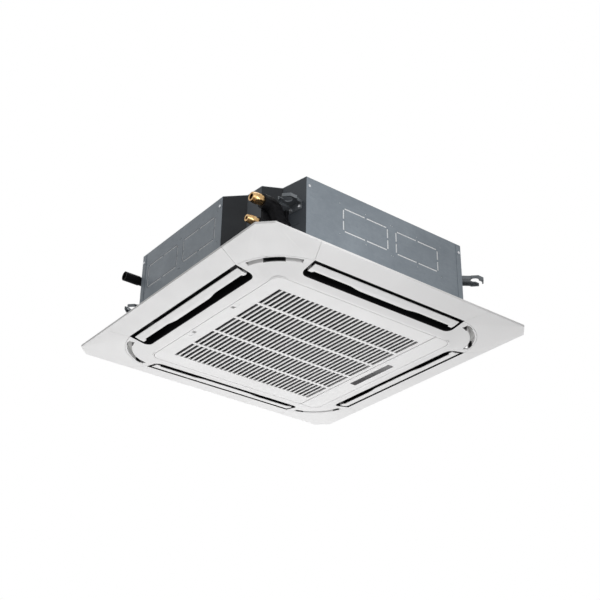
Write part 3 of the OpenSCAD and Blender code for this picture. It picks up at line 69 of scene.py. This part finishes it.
def add_camera():
    level = math.cos(camera_pitch)
    ahead = Vector((math.sin(camera_yaw) * level, math.cos(camera_yaw) * level, math.sin(camera_pitch)))
    right = Vector((math.cos(camera_yaw), -math.sin(camera_yaw), 0))
    up = right.cross(ahead)
    across = math.cos(camera_roll) * right + math.sin(camera_roll) * up
    above = math.cos(camera_roll) * up - math.sin(camera_roll) * right
    data = bpy.data.cameras.new("camera")
    data.lens = camera_lens
    data.sensor_width = camera_sensor
    data.clip_start = 50 * mm
    camera = bpy.data.objects.new("camera", data)
    scene.collection.objects.link(camera)
    turn = Matrix((across, above, -ahead)).transposed()
    camera.matrix_world = Matrix.Translation(camera_place) @ turn.to_4x4()
    scene.camera = camera


# Shader helpers

def new_material(name):
    """The tree and the main shader of a new material, which is kept in materials under its slot's name."""
    made = bpy.data.materials.new(name)
    made.use_nodes = True
    materials[name] = made
    return made.node_tree, made.node_tree.nodes["Principled BSDF"]


def add(tree, kind, values=None, **settings):
    """A new shader node: values go to its inputs, as links where they are sockets."""
    made = tree.nodes.new(kind)
    for key, value in settings.items():
        setattr(made, key, value)
    for key, value in (values or {}).items():
        if isinstance(value, bpy.types.NodeSocket):
            tree.links.new(value, made.inputs[key])
        else:
            made.inputs[key].default_value = value
    return made


def place(tree, stretch=(1, 1, 1)):
    """The point on the piece in metres, stretched along its axes."""
    where = add(tree, "ShaderNodeTexCoord").outputs["Object"]
    return add(tree, "ShaderNodeMapping", {"Vector": where, "Scale": stretch}).outputs["Vector"]


def noise(tree, at, size, detail=3.0, rough=0.55):
    """Clouds of about the given size, from zero to one."""
    values = {"Vector": at, "Scale": 1 / size, "Detail": detail, "Roughness": rough}
    return add(tree, "ShaderNodeTexNoise", values).outputs["Fac"]


def cells(tree, at, size, feature="F1"):
    """Cells of about the given size."""
    return add(tree, "ShaderNodeTexVoronoi", {"Vector": at, "Scale": 1 / size}, feature=feature)


def ramp(tree, value, stops):
    """Colours at places along a value, each stop a place and a colour."""
    made = add(tree, "ShaderNodeValToRGB", {"Fac": value})
    band = made.color_ramp
    while len(band.elements) < len(stops):
        band.elements.new(0.5)
    for element, (at, colour) in zip(band.elements, stops):
        element.position = at
        element.color = (*colour, 1)
    return made.outputs["Color"]


def span(tree, value, low, high, start=0.3, end=0.7):
    """Low to high while the value goes from start to end."""
    values = {"Value": value, "From Min": start, "From Max": end, "To Min": low, "To Max": high}
    return add(tree, "ShaderNodeMapRange", values).outputs["Result"]


def calc(tree, operation, a, b=0.0, c=0.0):
    return add(tree, "ShaderNodeMath", {0: a, 1: b, 2: c}, operation=operation).outputs["Value"]


def weigh(tree, a, share, b):
    """A value times a share, plus another."""
    return calc(tree, "MULTIPLY_ADD", a, share, b)


def below(tree, value, limit):
    return calc(tree, "LESS_THAN", value, limit)


def over(tree, value, limit):
    return calc(tree, "GREATER_THAN", value, limit)


def between(tree, value, low, high):
    return all_of(tree, over(tree, value, low), below(tree, value, high))


def all_of(tree, *masks):
    """One where every mask is one."""
    kept = masks[0]
    for mask in masks[1:]:
        kept = calc(tree, "MULTIPLY", kept, mask)
    return kept


def parts(tree, at):
    split = add(tree, "ShaderNodeSeparateXYZ", {"Vector": at})
    return split.outputs["X"], split.outputs["Y"], split.outputs["Z"]


def reach(tree, at):
    """A point's longer and shorter distance from the middle along X and Y, and its height."""
    x, y, height = parts(tree, at)
    across, along = calc(tree, "ABSOLUTE", x), calc(tree, "ABSOLUTE", y)
    return calc(tree, "MAXIMUM", across, along), calc(tree, "MINIMUM", across, along), height


def mix(tree, share, a, b):
    """Colour a where the share is zero, colour b where it is one."""
    made = add(tree, "ShaderNodeMix", data_type="RGBA")
    kinds = {"Factor": "VALUE", "A": "RGBA", "B": "RGBA"}
    sockets = {socket.name: socket for socket in made.inputs if kinds.get(socket.name) == socket.type}
    tree.links.new(share, sockets["Factor"])
    for key, colour in (("A", a), ("B", b)):
        if isinstance(colour, bpy.types.NodeSocket):
            tree.links.new(colour, sockets[key])
        else:
            sockets[key].default_value = (*colour, 1)
    return [socket for socket in made.outputs if socket.type == "RGBA"][0]


def relief(tree, shader, height, depth, strength=1.0, edge=0.0):
    """Grain on the surface, and rounded light along its edges where edge gives a radius."""
    values = {"Height": height, "Distance": depth, "Strength": strength}
    if edge:
        values["Normal"] = add(tree, "ShaderNodeBevel", {"Radius": edge}, samples=6).outputs["Normal"]
    tree.links.new(add(tree, "ShaderNodeBump", values).outputs["Normal"], shader.inputs["Normal"])


def coat(tree, shader, colour, rough, metallic=0.0, shine=0.5):
    """Links what varies over the surface, and sets the rest on the shader itself."""
    tree.links.new(colour, shader.inputs["Base Color"])
    tree.links.new(rough, shader.inputs["Roughness"])
    shader.inputs["Metallic"].default_value = metallic
    shader.inputs["Specular IOR Level"].default_value = shine


def moulded(name, low, high, rough=(0.36, 0.46), grain=0.35 * mm, depth=0.02 * mm, edge=0.5 * mm):
    """Moulded plastic: slow drifts of tone, a fine grain, rounded light along the edges."""
    tree, shader = new_material(name)
    at = place(tree)
    colour = ramp(tree, noise(tree, at, size=160 * mm, detail=2.0), [(0.25, low), (0.75, high)])
    coat(tree, shader, colour, span(tree, noise(tree, at, size=30 * mm, detail=4.0), *rough))
    relief(tree, shader, noise(tree, at, size=grain, detail=2.0, rough=0.7), depth, edge=edge)
    return tree, shader


def streaked(tree, streak):
    """A level made of streaks and of patches."""
    streak_share, patch_share = 0.45, 0.55
    patch = noise(tree, place(tree), size=50 * mm, detail=4.0, rough=0.6)
    return weigh(tree, streak, streak_share, calc(tree, "MULTIPLY", patch, patch_share))


def rolled(name, low, high, metallic, rough, run=(1, 1, 0.06), grain=1.2 * mm):
    """Rolled or drawn metal: streaks along one way, patches of duller skin."""
    tree, shader = new_material(name)
    streak = noise(tree, place(tree, run), size=grain, detail=4.0, rough=0.6)
    level = streaked(tree, streak)
    coat(tree, shader, ramp(tree, level, [(0.3, low), (0.7, high)]), span(tree, level, *rough), metallic)
    relief(tree, shader, streak, depth=0.012 * mm, edge=0.4 * mm)


# Materials

def galvanised_sheet():
    """Zinc-coated sheet with its crystal patches, faint rolling streaks and rub marks."""
    tree, shader = new_material("galvanised_sheet")
    at = place(tree)
    bends_per_metre = 60.0
    bend = add(tree, "ShaderNodeTexNoise", {"Vector": at, "Scale": bends_per_metre, "Detail": 2.0})
    shift = {0: bend.outputs["Color"], "Scale": 12 * mm}
    shifted = add(tree, "ShaderNodeVectorMath", shift, operation="SCALE")
    moved = add(tree, "ShaderNodeVectorMath", {0: at, 1: shifted.outputs["Vector"]}, operation="ADD")
    crystal = cells(tree, moved.outputs["Vector"], size=9 * mm).outputs["Color"]
    tone = add(tree, "ShaderNodeSeparateColor", {"Color": crystal}).outputs["Red"]
    cloud = noise(tree, at, size=120 * mm, detail=4.0)
    streak = noise(tree, place(tree, stretch=(1, 1, 14)), size=30 * mm)
    tone_share, cloud_share, streak_share = 0.07, 0.62, 0.31
    drift = weigh(tree, cloud, cloud_share, calc(tree, "MULTIPLY", streak, streak_share))
    level = weigh(tree, tone, tone_share, drift)
    dull, middle, bright = (0.19, 0.22, 0.25), (0.235, 0.27, 0.305), (0.29, 0.33, 0.37)
    colour = ramp(tree, level, [(0.25, dull), (0.5, middle), (0.75, bright)])
    coat(tree, shader, colour, span(tree, level, 0.5, 0.34), metallic=0.1, shine=0.35)
    rubbed = calc(tree, "ADD", tone, noise(tree, at, size=2.5 * mm))
    relief(tree, shader, rubbed, depth=0.02 * mm, strength=0.7, edge=0.6 * mm)


def white_foam():
    """Moulded bead foam: packed beads with fine dark joints; the pan's air ducts are coloured black."""
    tree, shader = new_material("white_foam")
    at = place(tree)
    bead = cells(tree, at, size=4.5 * mm, feature="DISTANCE_TO_EDGE").outputs["Distance"]
    joint = span(tree, bead, 0.0, 1.0, start=0.0, end=0.12)
    joint_grey, bead_white, duct_black = (0.66, 0.68, 0.69), (0.88, 0.89, 0.9), (0.012, 0.012, 0.014)
    far, near, height = reach(tree, at)
    # The foam inside the pan's air ducts is coloured black.
    duct = all_of(tree, between(tree, far, *duct_reach), below(tree, near, duct_half))
    duct = all_of(tree, duct, below(tree, height, duct_top_z))
    colour = mix(tree, duct, mix(tree, joint, joint_grey, bead_white), duct_black)
    coat(tree, shader, colour, span(tree, noise(tree, at, size=20 * mm), 0.62, 0.78))
    relief(tree, shader, joint, depth=0.18 * mm, strength=0.8)


def aluminium_fins():
    """A pack of thin fins seen edge on, upright and close together, with dull and bright bands; the gaps
    between the fins are painted dark as painted shade.
    """
    tree, shader = new_material("aluminium_fins")
    fin_pitch = 2.2 * mm
    x, y = parts(tree, place(tree))[:2]
    wave = calc(tree, "SINE", calc(tree, "MULTIPLY", calc(tree, "ADD", x, y), 2 * math.pi / fin_pitch))
    fin = span(tree, wave, 0.0, 1.0, start=-0.4, end=0.7)
    dull = noise(tree, place(tree, stretch=(1, 1, 4)), size=50 * mm, detail=4.0)
    # Painted shade: the dark grey of the gaps between the fins.
    gap_shade_grey, dull_metal, bright_metal = (0.035, 0.037, 0.04), (0.5, 0.52, 0.54), (0.72, 0.74, 0.76)
    metal = ramp(tree, dull, [(0.3, dull_metal), (0.7, bright_metal)])
    coat(tree, shader, mix(tree, fin, gap_shade_grey, metal), span(tree, dull, 0.5, 0.32), metallic=0.7)
    relief(tree, shader, fin, depth=0.5 * mm, strength=0.9)


def black_insulation():
    """Closed-cell rubber foam: a soft black skin with fine cells and long shallow creases."""
    tree, shader = new_material("black_insulation")
    cell = cells(tree, place(tree), size=1.3 * mm).outputs["Distance"]
    crease = noise(tree, place(tree, stretch=(0.35, 1, 1)), size=9 * mm, detail=4.0, rough=0.65)
    colour = ramp(tree, crease, [(0.3, (0.005, 0.005, 0.006)), (0.75, (0.016, 0.016, 0.018))])
    coat(tree, shader, colour, span(tree, crease, 0.48, 0.68), shine=0.08)
    cell_share = 0.3
    relief(tree, shader, weigh(tree, cell, cell_share, crease), depth=0.5 * mm, strength=0.6)


def filter_mesh():
    """A woven net in the filter's frame: fine square meshes whose openings are painted black as the shade
    behind them, with paler threads that are darkened too, as painted shade behind the grille.
    """
    tree, shader = new_material("filter_mesh")
    at = place(tree)
    thread_pitch = 2.4 * mm
    x, y = parts(tree, at)[:2]
    waves = [calc(tree, "SINE", calc(tree, "MULTIPLY", way, math.pi / thread_pitch)) for way in (x, y)]
    warp, weft = [calc(tree, "ABSOLUTE", wave) for wave in waves]
    thread = calc(tree, "SUBTRACT", 1.0, calc(tree, "MULTIPLY", warp, weft))
    lit = span(tree, thread, 0.0, 1.0, start=0.25, end=0.8)
    # Painted shade: black in the openings for the shade behind the net, and dark threads for the shade
    # behind the grille.
    opening_shade_black, thread_shade_grey = (0.006, 0.006, 0.007), (0.04, 0.041, 0.044)
    colour = mix(tree, lit, opening_shade_black, thread_shade_grey)
    coat(tree, shader, colour, span(tree, noise(tree, at, size=20 * mm), 0.55, 0.75), shine=0.2)
    relief(tree, shader, lit, depth=0.3 * mm, strength=0.8)


def vent_shade(tree, at):
    """Painted shade of a corner vent, a black stretch: its middle at the pipe corner, its two ends
    elsewhere.
    """
    x, y = parts(tree, at)[:2]
    far, near = reach(tree, at)[:2]
    aside = calc(tree, "SUBTRACT", far, near)
    at_pipes = below(tree, calc(tree, "ADD", x, y), pipe_corner_sum)
    middle = all_of(tree, at_pipes, below(tree, aside, vent_shade_middle))
    # At the pipe corner this takes a metre off, so that no end is found there.
    ends = between(tree, calc(tree, "SUBTRACT", aside, at_pipes), *vent_shade_ends)
    return calc(tree, "MAXIMUM", middle, ends)


def black_plastic():
    """Black moulding; the roofs of the corner vents are partly of the panel's pale plastic, coloured a
    shaded grey as painted shade, and stay black as painted shade along the vents' black stretches.
    """
    tree, shader = new_material("black_plastic")
    at = place(tree)
    tone = noise(tree, at, size=160 * mm, detail=2.0)
    black = ramp(tree, tone, [(0.25, (0.004, 0.004, 0.005)), (0.75, (0.009, 0.009, 0.01))])
    near = reach(tree, at)[1]
    pale = all_of(tree, over(tree, near, vent_start), calc(tree, "SUBTRACT", 1.0, vent_shade(tree, at)))
    # Painted shade: the roofs' pale plastic is coloured a shaded grey, and left black where the vent's
    # painted shade falls.
    shaded_white = 0.5, 0.5, 0.49
    colour = mix(tree, pale, black, shaded_white)
    coat(tree, shader, colour, span(tree, noise(tree, at, size=30 * mm, detail=4.0), 0.5, 0.6), shine=0.1)
    grain = noise(tree, at, size=0.35 * mm, detail=2.0, rough=0.7)
    relief(tree, shader, grain, depth=0.02 * mm, edge=0.5 * mm)


def white_plastic():
    """The panel's moulding; its corner vents' upright walls are painted black in stretches, as painted
    shade inside the vents.
    """
    tree, shader = moulded("white_plastic", (0.79, 0.785, 0.785), (0.83, 0.825, 0.825), edge=0.8 * mm)
    base = shader.inputs["Base Color"]
    white = base.links[0].from_socket
    at = place(tree)
    far, near, height = reach(tree, at)
    off = {"X": calc(tree, "SUBTRACT", far, vent_centre), "Y": calc(tree, "SUBTRACT", near, vent_centre)}
    off = add(tree, "ShaderNodeCombineXYZ", off).outputs["Vector"]
    from_centre = add(tree, "ShaderNodeVectorMath", {0: off}, operation="LENGTH").outputs["Value"]
    vent_shade_wall = all_of(tree, between(tree, from_centre, *vent_radii), over(tree, near, vent_start))
    vent_shade_wall = all_of(tree, vent_shade_wall, over(tree, height, vent_low_z), vent_shade(tree, at))
    # Painted shade: black on the vents' upright walls, for the shade inside the vents.
    black = 0.008, 0.008, 0.009
    tree.links.new(mix(tree, vent_shade_wall, white, black), base)


def dark_sheet():
    """The pipe corner's sheet, coloured near black; its narrow outer face and its wall at the front are
    painted paler, as painted light where light falls on them.
    """
    tree, shader = new_material("dark_sheet")
    x, y = parts(tree, place(tree))[:2]
    streak = noise(tree, place(tree, stretch=(1, 1, 0.08)), size=1.2 * mm, detail=4.0, rough=0.6)
    level = streaked(tree, streak)
    colour = ramp(tree, level, [(0.3, (0.016, 0.018, 0.022)), (0.7, (0.027, 0.03, 0.034))])
    # Painted light: the narrow outer face and the wall at the front are coloured paler for the light
    # falling on them.
    wall_lit_grey, face_lit_grey = (0.064, 0.074, 0.086), (0.085, 0.097, 0.11)
    colour = mix(tree, below(tree, y, pipe_wall_y), colour, wall_lit_grey)
    lit_face = all_of(tree, between(tree, x, *pipe_face_x), between(tree, y, *pipe_face_y))
    colour = mix(tree, lit_face, colour, face_lit_grey)
    coat(tree, shader, colour, span(tree, level, 0.5, 0.4), shine=0.25)
    relief(tree, shader, streak, depth=0.012 * mm, edge=0.4 * mm)


def green_board():
    """A printed board: solder mask over branching tracks and small pads."""
    tree, shader = new_material("green_board")
    at = place(tree)
    track = cells(tree, at, size=7 * mm, feature="DISTANCE_TO_EDGE").outputs["Distance"]
    pad = cells(tree, at, size=5 * mm).outputs["Distance"]
    on_track = span(tree, track, 1.0, 0.0, start=0.03, end=0.06)
    on_pad = span(tree, pad, 1.0, 0.0, start=0.12, end=0.16)
    board_green, track_green, pad_tin = (0.012, 0.075, 0.03), (0.03, 0.19, 0.07), (0.62, 0.6, 0.55)
    colour = mix(tree, on_pad, mix(tree, on_track, board_green, track_green), pad_tin)
    coat(tree, shader, colour, span(tree, noise(tree, at, size=10 * mm), 0.28, 0.4))
    relief(tree, shader, calc(tree, "MAXIMUM", on_track, on_pad), depth=0.06 * mm, strength=0.8)


def brass_fittings():
    """Turned brass: fine tool rings, a warm tarnish in patches."""
    tree, shader = new_material("brass_fittings")
    ring = noise(tree, place(tree, stretch=(1, 0.04, 0.04)), size=0.5 * mm, detail=2.0)
    stain = noise(tree, place(tree), size=9 * mm, detail=4.0, rough=0.6)
    brown, gold, bright = (0.34, 0.19, 0.08), (0.6, 0.39, 0.18), (0.78, 0.56, 0.3)
    colour = ramp(tree, stain, [(0.3, brown), (0.55, gold), (0.8, bright)])
    coat(tree, shader, colour, span(tree, stain, 0.36, 0.2), metallic=1.0)
    relief(tree, shader, ring, depth=0.03 * mm, strength=0.6, edge=0.5 * mm)


def dark_window():
    """The smoked cover of the display: gloss black with a soft dark-red depth."""
    tree, shader = new_material("dark_window")
    at = place(tree)
    haze = noise(tree, at, size=50 * mm, detail=2.0)
    colour = ramp(tree, haze, [(0.3, (0.006, 0.006, 0.009)), (0.7, (0.02, 0.016, 0.02))])
    coat(tree, shader, colour, span(tree, noise(tree, at, size=6 * mm), 0.06, 0.12), shine=0.12)
    relief(tree, shader, noise(tree, at, size=20 * mm), depth=0.01 * mm, strength=0.3, edge=0.3 * mm)


def sheet_metals():
    """The casing, the hooks, the screws and the steel inside."""
    galvanised_sheet()
    dark_sheet()
    rolled("zinc_screws", (0.5, 0.51, 0.53), (0.8, 0.81, 0.83),
           metallic=0.9, rough=(0.4, 0.24), run=(1, 1, 1), grain=1.5 * mm)
    rolled("hook_steel", (0.08, 0.09, 0.1), (0.2, 0.215, 0.23),
           metallic=0.5, rough=(0.46, 0.3), run=(1, 1, 0.3))
    rolled("inner_steel", (0.4, 0.42, 0.44), (0.62, 0.64, 0.66),
           metallic=0.8, rough=(0.45, 0.3), run=(1, 0.1, 1))
    rolled("motor_housing", (0.03, 0.032, 0.035), (0.06, 0.063, 0.068),
           metallic=0.4, rough=(0.46, 0.34), run=(1, 1, 1), grain=3 * mm)


def other_metals():
    """The heat exchanger, its pipes and nuts, and the capacitor's can."""
    aluminium_fins()
    brass_fittings()
    rolled("aluminium_can", (0.62, 0.63, 0.65), (0.82, 0.83, 0.85),
           metallic=0.95, rough=(0.34, 0.22), run=(1, 1, 0.05))
    rolled("copper_pipe", (0.42, 0.16, 0.08), (0.8, 0.42, 0.27),
           metallic=1.0, rough=(0.4, 0.2), run=(0.3, 0.3, 0.3), grain=6 * mm)


def plastics():
    """Mouldings, foam and rubber, the printed board, the filter's net and the display's window."""
    white_plastic()
    black_plastic()
    dark_window()
    green_board()
    filter_mesh()
    white_foam()
    black_insulation()
    moulded("dark_rubber", (0.012, 0.012, 0.013), (0.028, 0.028, 0.03),
            rough=(0.6, 0.75), grain=0.8 * mm, depth=0.05 * mm)
    moulded("white_fan", (0.68, 0.69, 0.7), (0.76, 0.77, 0.78), rough=(0.42, 0.52))
    moulded("dark_plastic", (0.035, 0.037, 0.04), (0.06, 0.062, 0.066), rough=(0.44, 0.56))
    moulded("pale_plastic", (0.6, 0.6, 0.57), (0.7, 0.7, 0.68), rough=(0.4, 0.5))
    moulded("blue_plastic", (0.02, 0.07, 0.25), (0.035, 0.11, 0.34))
    moulded("clear_grey_hose", (0.4, 0.42, 0.43), (0.52, 0.54, 0.55),
            rough=(0.26, 0.36), grain=2 * mm, depth=0.08 * mm)


def dress_nodes():
    """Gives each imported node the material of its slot."""
    sheet_metals()
    other_metals()
    plastics()
    for part in frame["record"]["subparts"]:
        piece = nodes[part["node"]]
        piece.data.materials.clear()
        piece.data.materials.append(materials[part["material_slot"]])


# Light and surroundings

def seen_straight(tree, *others):
    """One for what the camera or a mirror-like surface sees, and for the other rays named."""
    path = add(tree, "ShaderNodeLightPath")
    seen = calc(tree, "MAXIMUM", path.outputs["Is Camera Ray"], path.outputs["Is Glossy Ray"])
    for other in others:
        seen = calc(tree, "MAXIMUM", seen, path.outputs[other])
    return seen


def add_world(strength):
    """Surroundings that are seen white and light the unit at the given strength."""
    world = bpy.data.worlds.new("studio")
    scene.world = world
    world.use_nodes = True
    tree = world.node_tree
    tree.nodes.clear()
    light = add(tree, "ShaderNodeBackground", {"Color": (1, 1, 1, 1), "Strength": strength})
    white = add(tree, "ShaderNodeBackground", {"Color": (1, 1, 1, 1), "Strength": 1.0})
    shown = add(tree, "ShaderNodeMixShader", {0: seen_straight(tree, "Is Transmission Ray")})
    tree.links.new(light.outputs[0], shown.inputs[1])
    tree.links.new(white.outputs[0], shown.inputs[2])
    out = add(tree, "ShaderNodeOutputWorld")
    tree.links.new(shown.outputs[0], out.inputs["Surface"])


def add_lamp(name, at, aim, width, power):
    """A square lamp that the camera doesn't see, its width in metres and its power in watts."""
    data = bpy.data.lights.new(name, "AREA")
    data.shape = "SQUARE"
    data.size = width
    data.energy = power
    lamp = bpy.data.objects.new(name, data)
    lamp.location = at
    lamp.rotation_mode = "QUATERNION"
    lamp.rotation_quaternion = (Vector(aim) - Vector(at)).to_track_quat("-Z", "Y")
    lamp.visible_camera = False
    scene.collection.objects.link(lamp)


def pale_floor():
    """Pale paint that is seen brighter than it lights the unit, and shows soft shadows."""
    tree, shader = new_material("pale_floor")
    cloud = noise(tree, place(tree), size=0.8)
    colour = ramp(tree, cloud, [(0.3, (0.86, 0.86, 0.86)), (0.7, (0.89, 0.89, 0.89))])
    tree.links.new(colour, shader.inputs["Base Color"])
    shader.inputs["Roughness"].default_value = 0.8
    glow = add(tree, "ShaderNodeEmission", {"Color": (1, 1, 1, 1), "Strength": 1.0})
    glow_share = 0.8
    share = calc(tree, "MULTIPLY", seen_straight(tree), glow_share)
    shown = add(tree, "ShaderNodeMixShader", {0: share})
    tree.links.new(shader.outputs[0], shown.inputs[1])
    tree.links.new(glow.outputs[0], shown.inputs[2])
    out = [node for node in tree.nodes if node.type == "OUTPUT_MATERIAL"][0]
    tree.links.new(shown.outputs[0], out.inputs["Surface"])
    return materials["pale_floor"]


def add_floor():
    """The pale floor of the room, well below the unit."""
    corners = [(x * floor_half, y * floor_half, floor_z) for x, y in ((-1, -1), (1, -1), (1, 1), (-1, 1))]
    mesh = bpy.data.meshes.new("floor")
    mesh.from_pydata(corners, [], [(0, 1, 2, 3)])
    mesh.materials.append(pale_floor())
    floor = bpy.data.objects.new("floor", mesh)
    scene.collection.objects.link(floor)


def light_studio():
    """Soft lamps from below, in front and above, and a small one close to the casing's front."""
    add_world(strength=0.36)
    centre = (0, 0, -0.06)
    front_wall = (-0.2, -0.42, -0.1)
    add_lamp("key", at=(-0.4, -0.6, -3.3), aim=centre, width=2.4, power=22)
    add_lamp("fill", at=(-0.9, -3.6, -0.3), aim=centre, width=2.2, power=8)
    add_lamp("under", at=(1.1, 2.1, -2.6), aim=centre, width=2.6, power=70)
    add_lamp("side", at=(-0.25, -0.9, -0.15), aim=front_wall, width=0.3, power=1.2)
    add_lamp("top", at=(1.5, 1.0, 3.0), aim=centre, width=3.0, power=60)


def main():
    scene.view_settings.view_transform = "Standard"
    add_camera()
    dress_nodes()
    light_studio()
    add_floor()


main()
